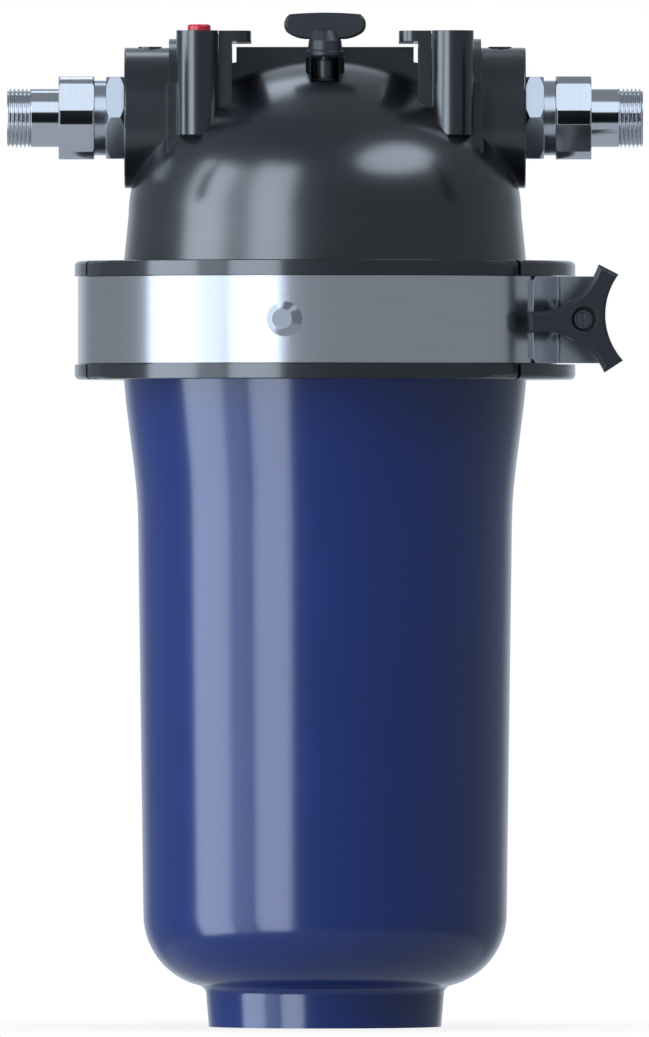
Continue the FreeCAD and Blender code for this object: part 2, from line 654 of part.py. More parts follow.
def head_side():
    """Port disc, block, rail and posts of the outlet side; the inlet side is its mirror."""
    disc = rod(PORT_RADIUS, PORT_DEPTH, V(PORT_FACE - PORT_DEPTH, 0, PORT_Z), X_AXIS)
    disc = disc.makeFillet(PORT_ROUND, [e for e in disc.Edges if e.Length > PORT_RADIUS * 6])
    collar = rod(COLLAR_RADIUS, COLLAR_TO - COLLAR_FROM, V(COLLAR_FROM, 0, PORT_Z), X_AXIS)
    root = JOINT_Z + DOME_BASE_RISE
    block = box((RAIL_FROM, BLOCK_TO), (-BLOCK_HALF, BLOCK_HALF), (root, JOINT_Z + BLOCK_RISE))
    top = JOINT_Z + RAIL_RISE
    rail = box((RAIL_FROM, RAIL_TO), (-RAIL_HALF, RAIL_HALF), (root, top))
    lip = box((LIP_TO, RAIL_TO), (-RAIL_HALF, RAIL_HALF), (top - LIP_THICK, top))
    lip = lip.makeFillet(LIP_ROUND, [e for e in lip.Edges if abs(e.CenterOfMass.x - LIP_TO) < 0.01
                                     and abs(e.Length - LIP_THICK) < 0.01])
    pieces = [disc, collar, block, rail, lip]
    for y in (-POST_Y, POST_Y):
        post_root = JOINT_Z + POST_ROOT
        pieces.append(rod(POST_RADIUS, top - post_root, V(POST_X, y, post_root)))
    return pieces[0].multiFuse(pieces[1:])


def cross_ribs():
    """Two ribs between the rails, arched on top, that carry the wall bracket's tongue."""
    ribs = []
    low = JOINT_Z + DOME_BASE_RISE + DOME_HEIGHT / 2
    for y in (RIB_FRONT, RIB_REAR):
        slab = box((-RAIL_FROM, RAIL_FROM), (y, y + RIB_THICK), (low, JOINT_Z + TONGUE_TOP_RISE))
        ribs.append(slab.cut(arch_above(0, y - 1, RIB_THICK + 2)))
    return ribs


def arch_above(gap, y, length):
    """Everything above the arch on which the tongue sits."""
    rise = tongue_seat()
    sag = RIB_ARCH - math.sqrt(RIB_ARCH ** 2 - RAIL_FROM ** 2)
    half, high = RAIL_FROM, JOINT_Z + rise + gap
    roof = JOINT_Z + TONGUE_TOP_RISE + LIP_THICK
    face = outline(lambda p: V(p[0], y, p[1]), (-half, high - sag), ((0, high), (half, high - sag)),
                   (half, roof), (-half, roof))
    return face.extrude(V(0, length, 0))


def tongue_seat():
    """Top of the arch at the middle: the tongue is thinnest there."""
    return TONGUE_TOP_RISE - TONGUE_THICK


def make_head():
    flange = [(HEAD_BORE, JOINT_Z), (FLANGE_RADIUS, JOINT_Z), (FLANGE_RADIUS, JOINT_Z + FLANGE_EDGE),
              (SKIRT_RADIUS, JOINT_Z + FLANGE_EDGE + FLANGE_BACK)]
    outside = shell_solid(0, flange)
    for side in (1, -1):
        extra = head_side()
        outside = outside.fuse(extra if side > 0 else flipped(extra, X_AXIS))
    outside = outside.multiFuse(cross_ribs() + [vent_boss()])
    skirt_top = JOINT_Z + FLANGE_EDGE + FLANGE_BACK
    inside = shell_solid(HEAD_WALL, [(HEAD_BORE, JOINT_Z - 1), (HEAD_BORE, skirt_top)])
    inside = inside.fuse(rod(HEAD_BORE, 2, V(0, 0, JOINT_Z - 1)))
    head = outside.cut(inside).fuse(vent_root()).fuse(duct(HEAD_WALL)).cut(duct(0))
    outlet = rod(BORE_RADIUS, PORT_FACE, V(0, 0, PORT_Z), X_AXIS)
    head = head.cut(outlet.cut(rod(DUCT_RADIUS * 2, PORT_RISE, V(0, 0, JOINT_Z + DOME_BASE_RISE))))
    for side in SIDES.values():
        depth = SPIGOT_LENGTH + SPIGOT_ROOM
        socket = rod(SPIGOT_RADIUS + SPIGOT_FIT, depth, V(side * PORT_FACE, 0, PORT_Z), X_AXIS * -side)
        plug = rod(PLUG_RADIUS + FIT, PLUG_DEPTH, V(side * plug_x(), 0, plug_seat()))
        mouth = V(side * plug_x(), 0, plug_seat() + PLUG_DEPTH / 2)
        plug = plug.fuse(rod(PLUG_RADIUS + FIT, PLUG_DEPTH, mouth))
        head = head.cut(socket).cut(plug)
    return head.cut(vent_cut()).cut(indicator_well()).cut(wall_tongue())


def duct(wall):
    """Inlet passage: in from the left port, down through a cone to the basket's socket."""
    pipe = rod(BORE_RADIUS + wall, POST_X + POST_RADIUS, V(-POST_X - POST_RADIUS, 0, PORT_Z), X_AXIS)
    if wall == 0:
        pipe = rod(BORE_RADIUS, PORT_FACE, V(-PORT_FACE, 0, PORT_Z), X_AXIS)
    narrow, wide = BORE_RADIUS + wall, SOCKET_RADIUS + wall
    foot = JOINT_Z + SOCKET_FOOT_RISE
    funnel = turned(section((0, foot), (wide, foot), (wide, JOINT_Z + SOCKET_RISE),
                            (narrow, JOINT_Z + CONE_RISE), (narrow, PORT_Z), (0, PORT_Z)))
    return pipe.fuse(funnel).fuse(Part.makeSphere(narrow, V(0, 0, PORT_Z)))


def vent_boss():
    return rod(VENT_RADIUS, VENT_RISE - PORT_RISE, V(0, VENT_Y, PORT_Z))


def vent_root():
    """The boss carried on inside the dome, as deep as the stem's thread."""
    return rod(VENT_RADIUS, VENT_SLOT_DEPTH + STEM_TAIL, V(0, VENT_Y, vent_seat() - STEM_TAIL))


def vent_seat():
    """Floor of the slot, on which the vent seal lies."""
    return JOINT_Z + VENT_RISE - VENT_SLOT_DEPTH


def vent_cut():
    seat, top = vent_seat(), JOINT_Z + VENT_RISE
    half = VENT_SLOT / 2
    slot = rod(half, VENT_SLOT_DEPTH, V(0, VENT_Y, seat))
    slot = slot.fuse(box((-half, half), (VENT_Y - 3 * VENT_RADIUS, VENT_Y), (seat, top)))
    slot = slot.fuse(rod(WING_HALF + FIT, DOME_HEIGHT, V(0, VENT_Y, top)))
    return slot.fuse(rod(VENT_HOLE, 4 * VENT_SLOT_DEPTH, V(0, VENT_Y, seat - 4 * VENT_SLOT_DEPTH)))


def indicator_well():
    x, top = -(POST_X - BUTTON_INSET), JOINT_Z + RAIL_RISE
    well = rod(BUTTON_RADIUS + BUTTON_FIT, WELL_DEPTH, V(x, -POST_Y, top - WELL_DEPTH))
    return well.fuse(rod(BLEED_RADIUS, DOME_HEIGHT / 2, V(x, -POST_Y, top - WELL_DEPTH - DOME_HEIGHT / 2)))


# ---- Vent ----------------------------------------------------------------
def make_vent_seal():
    return moved(oval_seal(VENT_SEAL_RADIUS / 2 + VENT_HOLE / 2, VENT_SEAL_RADIUS - VENT_HOLE,
                           vent_seat(), vent_seat() + VENT_SEAL_HEIGHT), y=VENT_Y)


def make_vent_stem():
    low, top = vent_seat() + VENT_SEAL_HEIGHT, JOINT_Z + VENT_RISE
    shoulder = top - STEM_NECK / 2
    tail, thread = low - VENT_SEAL_HEIGHT - STEM_TAIL, VENT_HOLE - STEM_FIT
    face = section((0, tail), (thread, tail), (thread, low), (STEM_RADIUS, low), (STEM_RADIUS, shoulder),
                   (STEM_NECK, shoulder), (STEM_NECK, top + STEM_INTO_KNOB), (0, top + STEM_INTO_KNOB))
    return moved(turned(face), y=VENT_Y)


def wing_wire(y, base, inset):
    """Outline of the wing across the knob, with every edge moved in by inset."""
    half, height, root = WING_HALF - inset, WING_HEIGHT - inset, WING_ROOT - inset
    ends = height - WING_ARCH
    (ax, az), (bx, bz), (cx, cz), (dx, _) = WING_SIDE
    low, mid, bulge = az * WING_HEIGHT + inset, bz * WING_HEIGHT + inset, cz * WING_HEIGHT
    face = outline(lambda p: V(p[0], y, base + p[1]), (-root, inset), (root, inset),
                   ((half * ax, low), (half * bx, mid)),
                   ((half * cx, bulge), (half * dx, ends)),
                   ((0, height), (-half * dx, ends)),
                   ((-half * cx, bulge), (-half * bx, mid)),
                   ((-half * ax, low), (-root, inset)))
    return face.OuterWire


def make_vent_knob():
    base = JOINT_Z + VENT_RISE + VENT_KNOB_GAP
    crown = base + CROWN_HEIGHT
    neck = crown + NECK_HEIGHT
    lap = WING_HEIGHT / 3
    edge = CROWN_EDGE
    body = turned(section((0, base), (CROWN_RADIUS - edge, base), (CROWN_RADIUS, base + edge),
                          (CROWN_RADIUS, crown - edge), (CROWN_RADIUS - edge, crown), (NECK_TURNED, crown),
                          (NECK_TURNED - NECK_DRAFT, neck - NECK_EDGE), (WING_CORE, neck + lap),
                          (0, neck + lap)))
    half = WING_THICK / 2
    wing = bevelled(lambda y, inset: wing_wire(y, neck, inset), -half, half, WING_EDGE)
    knob = body.fuse(wing)
    bore = rod(STEM_NECK + STEM_FIT, STEM_INTO_KNOB + STEM_FIT, V(0, 0, base))
    return moved(knob.cut(bore), y=VENT_Y)


# ---- Indicator -----------------------------------------------------------
def make_button():
    top = JOINT_Z + RAIL_RISE + BUTTON_PROUD
    low = top - BUTTON_PROUD - BUTTON_BODY
    groove = BUTTON_BODY / 3
    r, c = BUTTON_RADIUS, BUTTON_ROUND
    k = c * math.sqrt(0.5)
    face = section((0, low), (r, low), (r, low + groove), (r - BUTTON_GROOVE, low + groove),
                   (r - BUTTON_GROOVE, low + 2 * groove), (r, low + 2 * groove), (r, top - c),
                   ((r - c + k, top - c + k), (r - c, top)), (0, top))
    return moved(turned(face), x=-(POST_X - BUTTON_INSET), y=-POST_Y)


def make_indicator_seal():
    low = JOINT_Z + RAIL_RISE - BUTTON_BODY * 2 / 3
    seal = ring(BUTTON_RADIUS, BUTTON_RADIUS - BUTTON_GROOVE, low, low + BUTTON_BODY / 3)
    return moved(seal, x=-(POST_X - BUTTON_INSET), y=-POST_Y)


def make_spring():
    low = JOINT_Z + RAIL_RISE - WELL_DEPTH
    high = JOINT_Z + RAIL_RISE - BUTTON_BODY
    wire = SPRING_WIRE / 2
    height = high - low - SPRING_WIRE
    coil = Part.makeHelix(height / SPRING_TURNS, height, SPRING_RADIUS)
    corners = [polar(wire, 360 * i / SPRING_SIDES) for i in range(SPRING_SIDES + 1)]
    start = Part.makePolygon([V(SPRING_RADIUS + x, 0, z) for x, z in corners])
    spring = Part.Wire(coil).makePipeShell([start], True, True)
    return moved(spring, x=-(POST_X - BUTTON_INSET), y=-POST_Y, z=low + wire)


# ---- Gauge plugs ----------------------------------------------------------
def plug_x():
    return PORT_FACE - PLUG_FROM_FACE


def plug_seat():
    return PORT_Z + PORT_RADIUS + PLUG_PROUD - PLUG_DEPTH


def make_plug(side):
    body = rod(PLUG_RADIUS, PLUG_DEPTH, V(side * plug_x(), 0, plug_seat()))
    key = hexagon(PLUG_KEY, PLUG_KEY_DEPTH)
    return body.cut(moved(key, x=side * plug_x(), z=plug_seat() + PLUG_DEPTH - PLUG_KEY_DEPTH))


# ---- Unions --------------------------------------------------------------
def hexagon(flats, length):
    """A hexagonal bar up +Z with a flat towards -Y."""
    radius = flats / math.sqrt(3)
    points = [V(*polar(radius, 60 * i), 0) for i in range(7)]
    return Part.Face(Part.makePolygon(points)).extrude(V(0, 0, length))


def lay(shape, x):
    """Carry a piece made up +Z to the outlet's axis, its base at x and a corner upwards."""
    copy = spun(shape, 90, ORIGIN, Z_AXIS)
    copy.rotate(ORIGIN, Y_AXIS, 90)
    copy.translate(V(x, 0, PORT_Z))
    return copy


def on_side(shape, side):
    return shape if side > 0 else spun(shape, 180)


def chamfered_hexagon(flats, length, radius, drop):
    """Hexagon whose corners are turned off: to a radius, and to a cone at both ends."""
    rise = drop * HEX_SLOPE
    cone = turned(section((0, 0), (radius - drop, 0), (radius, rise), (radius, length - rise),
                          (radius - drop, length), (0, length)))
    return hexagon(flats, length).common(cone)


def make_union_body():
    hex_radius = BODY_FLATS / math.sqrt(3)
    body = chamfered_hexagon(BODY_FLATS, BODY_HEX, hex_radius, HEX_CHAMFER)
    body = body.fuse(rod(NECK_COLLAR, NECK_LENGTH, V(0, 0, BODY_HEX)))
    body = body.fuse(rod(THREAD_RADIUS, THREAD_LENGTH, V(0, 0, BODY_HEX + NECK_LENGTH)))
    body = body.fuse(rod(SPIGOT_RADIUS, SPIGOT_LENGTH, V(0, 0, -SPIGOT_LENGTH)))
    return lay(body.cut(rod(BORE_RADIUS, 4 * PORT_DEPTH, V(0, 0, -2 * PORT_DEPTH))), PORT_FACE)


def union_face():
    """X of the union body's sealing face."""
    return PORT_FACE + BODY_HEX + NECK_LENGTH + THREAD_LENGTH


def make_union_gasket():
    return lay(ring(TAIL_FLANGE, BORE_RADIUS, 0, GASKET_THICK), union_face())


def make_union_nut():
    start = PORT_FACE + BODY_HEX + NECK_LENGTH
    nut = chamfered_hexagon(NUT_FLATS, NUT_LENGTH - NUT_FIT, NUT_CORNERS, NUT_CHAMFER)
    nut = nut.cut(rod(THREAD_RADIUS + NUT_FIT, NUT_LENGTH - NUT_SHOULDER, ORIGIN))
    return lay(nut.cut(rod(TAIL_RADIUS + NUT_FIT, NUT_LENGTH, ORIGIN)), start + NUT_FIT)


def make_tailpiece():
    start = union_face() + GASKET_THICK
    shoulder = PORT_FACE + BODY_HEX + NECK_LENGTH + NUT_LENGTH - NUT_SHOULDER
    mouth = shoulder + NUT_SHOULDER + TAIL_LENGTH
    c = PIPE_CHAMFER
    face = section((BORE_RADIUS, 0), (TAIL_FLANGE, 0), (TAIL_FLANGE, shoulder - start),
                   (TAIL_RADIUS, shoulder - start), (TAIL_RADIUS, mouth - start),
                   (PIPE_RADIUS, mouth - start), (PIPE_RADIUS, mouth - start + PIPE_LENGTH - c),
                   (PIPE_RADIUS - c, mouth - start + PIPE_LENGTH), (BORE_RADIUS, mouth - start + PIPE_LENGTH))
    return lay(turned(face), start)


# ---- Basket --------------------------------------------------------------
def basket_heights():
    """Floor, underside of the basket, shoulder that seats on the socket, top of the collar."""
    floor = FOOT_HEIGHT + BOWL_WALL
    shoulder = JOINT_Z + SOCKET_FOOT_RISE
    return floor, floor + BASKET_FOOT_HEIGHT, shoulder, shoulder + COLLAR_HEIGHT


def make_basket():
    floor, low, shoulder, top = basket_heights()
    r, w = BASKET_RADIUS, BASKET_WALL
    collar = SOCKET_RADIUS - COLLAR_FIT
    inner = collar - COLLAR_WALL
    seal = COLLAR_SEAL / 2
    mid = (shoulder + top) / 2
    face = section((BASKET_FOOT - w, floor), (BASKET_FOOT, floor), (BASKET_FOOT, low), (r, low),
                   (r, shoulder), (collar, shoulder), (collar, mid - seal), (collar - seal, mid - seal),
                   (collar - seal, mid + seal), (collar, mid + seal), (collar, top), (inner, top),
                   (inner, shoulder - w), (r - w, shoulder - w), (r - w, low + w), (0, low + w),
                   (0, low), (BASKET_FOOT - w, low))
    basket = turned(face)
    pitch = (shoulder - low) / SLOT_ROWS
    slots = []
    for row in range(SLOT_ROWS):
        z = low + pitch * (row + 0.5)
        wide, tall = SLOT_WIDTH / 2, SLOT_HEIGHT / 2
        slot = box((r - 3 * w, r + w), (-wide, wide), (z - tall, z + tall))
        slots += [spun(slot, 360 * column / SLOT_COLUMNS) for column in range(SLOT_COLUMNS)]
    bore = HANDLE_WIRE + FIT / 2
    holes = [rod(bore, 2 * COLLAR_WALL, V(side * (inner - 1), 0, handle_end()), X_AXIS * side)
             for side in SIDES.values()]
    return basket.cut(Part.makeCompound(slots)).cut(Part.makeCompound(holes))


def handle_end():
    """Height of the handle's ends in the collar."""
    return basket_heights()[2] + HANDLE_SEAT


def make_basket_seal():
    _, _, shoulder, top = basket_heights()
    mid, seal = (shoulder + top) / 2, COLLAR_SEAL / 2
    return ring(SOCKET_RADIUS, SOCKET_RADIUS - COLLAR_FIT - seal, mid - seal, mid + seal)


def make_handle():
    """Wire bent to an arch whose ends are turned out into the collar."""
    inner = SOCKET_RADIUS - COLLAR_FIT - COLLAR_WALL
    z, half = handle_end(), inner - HANDLE_WIRE - HANDLE_CLEAR
    a, b = V(-half, 0, z), V(half, 0, z)
    arch = Part.Wire(Part.Arc(a, V(0, 0, z + HANDLE_RISE), b).toShape())
    tangent = arch.Edges[0].tangentAt(arch.Edges[0].FirstParameter)
    circle = Part.Wire(Part.makeCircle(HANDLE_WIRE, a, tangent))
    wire = arch.makePipeShell([circle], True, True)
    for side in SIDES.values():
        end = inner + COLLAR_WALL / 2 - half
        wire = wire.fuse(Part.makeSphere(HANDLE_WIRE, V(side * half, 0, z)))
        wire = wire.fuse(rod(HANDLE_WIRE, end, V(side * half, 0, z), X_AXIS * side))
    return wire


# ---- Wall bracket --------------------------------------------------------
def wall_tongue():
    """Tongue that lies in the rails on the cross ribs."""
    top = JOINT_Z + TONGUE_TOP_RISE
    length = WALL_Y - TONGUE_FRONT
    low = JOINT_Z + tongue_seat() - RIB_ARCH + math.sqrt(RIB_ARCH ** 2 - TONGUE_HALF ** 2)
    slab = box((-TONGUE_HALF, TONGUE_HALF), (TONGUE_FRONT, WALL_Y), (low, top))
    return slab.common(arch_above(0, TONGUE_FRONT, length))


def make_wall_bracket():
    """The tongue, with a plate down the wall."""
    top = JOINT_Z + TONGUE_TOP_RISE
    plate = box((-PLATE_HALF, PLATE_HALF), (WALL_Y - WALL_PLATE, WALL_Y), (top - PLATE_DROP, top))
    bracket = wall_tongue().fuse(plate)
    for x in (-HOLE_PITCH_X / 2, HOLE_PITCH_X / 2):
        for z in (top - HOLE_TOP, top - HOLE_TOP - HOLE_PITCH_Z):
            bracket = bracket.cut(rod(WALL_HOLE, 3 * WALL_PLATE, V(x, WALL_Y - 2 * WALL_PLATE, z), Y_AXIS))
    return bracket


# ---- The whole part -------------------------------------------------------
def build():
    """All pieces by name."""
    front_low, front_high = LINER_CENTRE - LINER_HALF, LINER_CENTRE + LINER_HALF
    front = long_liner()
    stud = stud_on(STUD_ANGLE)
    pieces = {
        "bowl": make_bowl(),
        "bowl_seal": oval_seal(SEAL_RADIUS, SEAL_WIDTH, JOINT_Z - SEAL_DEPTH, JOINT_Z),
        "head": make_head(),
        "liner_front": front,
        "liner_rear": flipped(front, Y_AXIS),
        "liner_left": short_liner(-180 - front_low + SEGMENT_GAP, front_low - SEGMENT_GAP),
        "liner_right": right_liner(front_high + SEGMENT_GAP, 180 - front_high - SEGMENT_GAP),
        "clamp_band": make_band(),
        "liner_stud_front": stud,
        "liner_stud_rear": flipped(stud, Y_AXIS),
        "front_bracket": make_front_bracket(),
        "rear_bracket": make_rear_bracket(),
        "bolt_pin": make_pin(),
        "clamp_bolt": make_bolt(),
        "clamp_washer": make_washer(),
        "knob_insert": make_insert(),
        "clamp_knob": make_knob(),
        "vent_seal": make_vent_seal(),
        "vent_stem": make_vent_stem(),
        "vent_knob": make_vent_knob(),
        "indicator_button": make_button(),
        "indicator_seal": make_indicator_seal(),
        "indicator_spring": make_spring(),
        "basket": make_basket(),
        "basket_seal": make_basket_seal(),
        "basket_handle": make_handle(),
        "wall_bracket": make_wall_bracket(),
    }
    union = {"union_body": make_union_body(), "union_gasket": make_union_gasket(),
             "union_nut": make_union_nut(), "tailpiece": make_tailpiece()}
    for name, side in SIDES.items():
        pieces["gauge_plug_" + name] = make_plug(side)
        for piece, shape in union.items():
            pieces[piece + "_" + name] = on_side(shape, side)
    return pieces


def main():
    os.makedirs("parts", exist_ok=True)
    for name, shape in build().items():
        shape.exportStep("parts/" + name + ".step")
        print(name, len(shape.Solids), shape.isValid(), round(shape.Volume), shape.BoundBox)


main()
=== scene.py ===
"""Sea water strainer: finishes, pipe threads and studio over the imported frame."""

import logging
import math
from dataclasses import dataclass
from enum import Enum

import bmesh
import bpy
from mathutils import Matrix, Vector


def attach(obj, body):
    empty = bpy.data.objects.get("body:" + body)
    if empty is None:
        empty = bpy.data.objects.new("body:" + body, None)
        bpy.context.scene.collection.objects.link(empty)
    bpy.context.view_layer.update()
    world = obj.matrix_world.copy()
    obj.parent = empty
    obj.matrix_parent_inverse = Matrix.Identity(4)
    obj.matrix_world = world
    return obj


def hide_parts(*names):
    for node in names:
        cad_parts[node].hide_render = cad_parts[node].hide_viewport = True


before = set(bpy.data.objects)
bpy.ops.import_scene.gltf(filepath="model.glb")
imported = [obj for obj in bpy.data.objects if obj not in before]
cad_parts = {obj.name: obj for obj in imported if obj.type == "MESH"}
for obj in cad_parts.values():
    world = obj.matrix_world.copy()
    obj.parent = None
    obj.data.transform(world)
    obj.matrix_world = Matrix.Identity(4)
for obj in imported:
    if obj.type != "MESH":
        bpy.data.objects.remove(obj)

LOG = logging.getLogger("strainer")
RGB = tuple[float, float, float]
NODES: dict[str, bpy.types.Object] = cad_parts


class Lay(Enum):
    """Direction in which a metal surface was worked, as the stretch of its marks."""

    ROUND_THE_PIPE = (1.0, 0.02, 0.02)
    ROUND_THE_BOWL = (0.015, 0.015, 1.0)
    NONE = (1.0, 1.0, 1.0)


def linear(red: int, green: int, blue: int) -> RGB:
    """Scene-linear colour of a display colour.

    Args:
        red: 0 to 255.
        green: 0 to 255.
        blue: 0 to 255.

    Returns:
        The three linear channels.
    """
    def one(value: int) -> float:
        """One channel, made linear."""
        share = value / 255
        return share / 12.92 if share <= 0.04045 else ((share + 0.055) / 1.055) ** 2.4

    return (one(red), one(green), one(blue))


def metallic(thing: bpy.types.Object) -> bool:
    """Whether a dressed piece wears a metal.

    Args:
        thing: The piece.

    Returns:
        True for a metal.
    """
    shader = thing.material_slots[0].material.node_tree.nodes["Principled BSDF"]
    return shader.inputs["Metallic"].default_value > 0.5


class Bench:
    """Builds one node tree, either a material's or a group's."""

    def __init__(self, tree: bpy.types.NodeTree) -> None:
        """Start on a tree.

        Args:
            tree: The tree that gets the nodes.
        """
        self.tree = tree

    def node(self, kind: str, **values: object) -> bpy.types.Node:
        """Add a node and set its properties.

        Args:
            kind: Blender's name for the node's type.
            values: Properties by name.

        Returns:
            The new node.
        """
        made = self.tree.nodes.new(kind)
        for name, value in values.items():
            setattr(made, name, value)
        return made

    def join(self, source: bpy.types.NodeSocket, target: bpy.types.NodeSocket) -> None:
        """Link one socket to another.

        Args:
            source: The output socket.
            target: The input socket.
        """
        self.tree.links.new(source, target)

    def place(self) -> bpy.types.NodeSocket:
        """Object coordinates, for a pattern that stays on its piece.

        Returns:
            The output socket.
        """
        return self.node("ShaderNodeTexCoord").outputs["Object"]

    def ease(self, value: bpy.types.NodeSocket, span: tuple[float, float],
             result: tuple[float, float]) -> bpy.types.NodeSocket:
        """Ease a value from one range to another.

        Args:
            value: The socket that is read.
            span: Where the change begins and where it ends.
            result: What comes out at the beginning and at the end.

        Returns:
            The eased value.
        """
        made = self.node("ShaderNodeMapRange", interpolation_type="SMOOTHSTEP")
        for key, number in zip(("From Min", "From Max", "To Min", "To Max"), span + result):
            made.inputs[key].default_value = number
        self.join(value, made.inputs["Value"])
        return made.outputs["Result"]


class GroupBench(Bench):
    """A bench on a new node group with named sockets."""

    def __init__(self, name: str, inputs: dict[str, tuple[str, object]],
                 outputs: dict[str, str]) -> None:
        """Make the empty group.

        Args:
            name: The group's name.
            inputs: Socket type and default by name.
            outputs: Socket type by name.
        """
        super().__init__(bpy.data.node_groups.new(name, "ShaderNodeTree"))
        for label, (kind, default) in inputs.items():
            socket = self.tree.interface.new_socket(name=label, in_out="INPUT", socket_type=kind)
            socket.default_value = default
        for label, kind in outputs.items():
            self.tree.interface.new_socket(name=label, in_out="OUTPUT", socket_type=kind)
        self.enter = self.node("NodeGroupInput")
        self.leave = self.node("NodeGroupOutput")


class MaterialBench(Bench):
    """A bench on a new material, with the steps that the finishes share."""

    def __init__(self, name: str, colour: RGB) -> None:
        """Make the material.

        Args:
            name: The material's name.
            colour: Linear base colour.
        """
        self.material = bpy.data.materials.new(name)
        self.material.use_nodes = True
        self.material.diffuse_color = (*colour, 1.0)
        super().__init__(self.material.node_tree)
        self.shader = self.tree.nodes["Principled BSDF"]
        self.shader.inputs["Base Color"].default_value = (*colour, 1.0)

    def group(self, tree: bpy.types.NodeTree, **values: object) -> bpy.types.Node:
        """Place a shared group with its own values.

        Args:
            tree: The group.
            values: Input values by name.

        Returns:
            The placed group.
        """
        made = self.node("ShaderNodeGroup", node_tree=tree)
        for name, value in values.items():
            made.inputs[name].default_value = value
        return made

    def tint(self, tone: bpy.types.NodeSocket, colour: RGB, darkest: float,
             lightest: float) -> None:
        """Vary the base colour with a tone.

        Args:
            tone: 0 to 1, dark to light.
            colour: Linear base colour.
            darkest: Share of the colour where the tone is 0.
            lightest: Share of the colour where the tone is 1.
        """
        mix = self.node("ShaderNodeMixRGB", blend_type="MIX")
        for key, share in (("Color1", darkest), ("Color2", lightest)):
            mix.inputs[key].default_value = (*[min(c * share, 1.0) for c in colour], 1.0)
        self.join(tone, mix.inputs["Fac"])
        self.join(mix.outputs["Color"], self.shader.inputs["Base Color"])

    def relief(self, height: bpy.types.NodeSocket, depth: float, edges: bpy.types.Node) -> None:
        """Join softened edges and surface relief to the shader's normal.

        Args:
            height: Height of the surface relief.
            depth: Its depth in metres.
            edges: The placed soft_edges group.
        """
        bump = self.node("ShaderNodeBump")
        bump.inputs["Distance"].default_value = depth
        self.join(height, bump.inputs["Height"])
        self.join(edges.outputs["Normal"], bump.inputs["Normal"])
        self.join(bump.outputs["Normal"], self.shader.inputs["Normal"])


class Effects:
    """Node groups that several finishes share."""

    def __init__(self) -> None:
        """Build every group once."""
        self.grain = self._grain()
        self.marks = self._marks()
        self.worked = self._worked()
        self.edges = self._edges()

    def _grain(self) -> bpy.types.NodeTree:
        """Moulded skin: a very fine pebble over a slow waviness.

        Returns:
            The group, with a height and a tone.
        """
        b = GroupBench("moulded_skin", {"Scale": ("NodeSocketFloat", 900.0)},
                       {"Height": "NodeSocketFloat", "Tone": "NodeSocketFloat"})
        fine = b.node("ShaderNodeTexNoise")
        fine.inputs["Detail"].default_value = 3.0
        b.join(b.place(), fine.inputs["Vector"])
        b.join(b.enter.outputs["Scale"], fine.inputs["Scale"])
        slow = b.node("ShaderNodeTexNoise")
        slow.inputs["Scale"].default_value = 14.0
        b.join(b.place(), slow.inputs["Vector"])
        add = b.node("ShaderNodeMath", operation="MULTIPLY_ADD")
        add.inputs[1].default_value = 0.25
        b.join(fine.outputs["Fac"], add.inputs[0])
        b.join(slow.outputs["Fac"], add.inputs[2])
        b.join(add.outputs[0], b.leave.inputs["Height"])
        b.join(slow.outputs["Fac"], b.leave.inputs["Tone"])
        return b.tree

    def _marks(self) -> bpy.types.NodeTree:
        """Handling marks: patches where the gloss is a little lower or higher.

        Returns:
            The group, with a roughness.
        """
        b = GroupBench("handling_marks", {"Gloss": ("NodeSocketFloat", 0.3),
                                          "Spread": ("NodeSocketFloat", 0.06)},
                       {"Roughness": "NodeSocketFloat"})
        patch = b.node("ShaderNodeTexNoise")
        patch.inputs["Scale"].default_value = 22.0
        patch.inputs["Detail"].default_value = 5.0
        b.join(b.place(), patch.inputs["Vector"])
        centre = b.node("ShaderNodeMath", operation="SUBTRACT")
        centre.inputs[1].default_value = 0.5
        b.join(patch.outputs["Fac"], centre.inputs[0])
        out = b.node("ShaderNodeMath", operation="MULTIPLY_ADD")
        b.join(centre.outputs[0], out.inputs[0])
        b.join(b.enter.outputs["Spread"], out.inputs[1])
        b.join(b.enter.outputs["Gloss"], out.inputs[2])
        b.join(out.outputs[0], b.leave.inputs["Roughness"])
        return b.tree

    def _worked(self) -> bpy.types.NodeTree:
        """Worked metal: fine lines along the lay of the tool.

        Returns:
            The group, with a height and a tone.
        """
        b = GroupBench("tool_lines", {"Stretch": ("NodeSocketVector", (1.0, 1.0, 1.0)),
                                      "Scale": ("NodeSocketFloat", 1400.0)},
                       {"Height": "NodeSocketFloat", "Tone": "NodeSocketFloat"})
        pull = b.node("ShaderNodeVectorMath", operation="MULTIPLY")
        b.join(b.place(), pull.inputs[0])
        b.join(b.enter.outputs["Stretch"], pull.inputs[1])
        lines = b.node("ShaderNodeTexNoise")
        lines.inputs["Detail"].default_value = 2.0
        b.join(pull.outputs[0], lines.inputs["Vector"])
        b.join(b.enter.outputs["Scale"], lines.inputs["Scale"])
        b.join(lines.outputs["Fac"], b.leave.inputs["Height"])
        b.join(lines.outputs["Fac"], b.leave.inputs["Tone"])
        return b.tree

    def _edges(self) -> bpy.types.NodeTree:
        """Softened edges: the normal turns over a small radius.

        Returns:
            The group, with a normal.
        """
        b = GroupBench("soft_edges", {"Radius": ("NodeSocketFloat", 0.0008)},
                       {"Normal": "NodeSocketVector"})
        turn = b.node("ShaderNodeBevel", samples=6)
        b.join(b.enter.outputs["Radius"], turn.inputs["Radius"])
        b.join(turn.outputs["Normal"], b.leave.inputs["Normal"])
        return b.tree


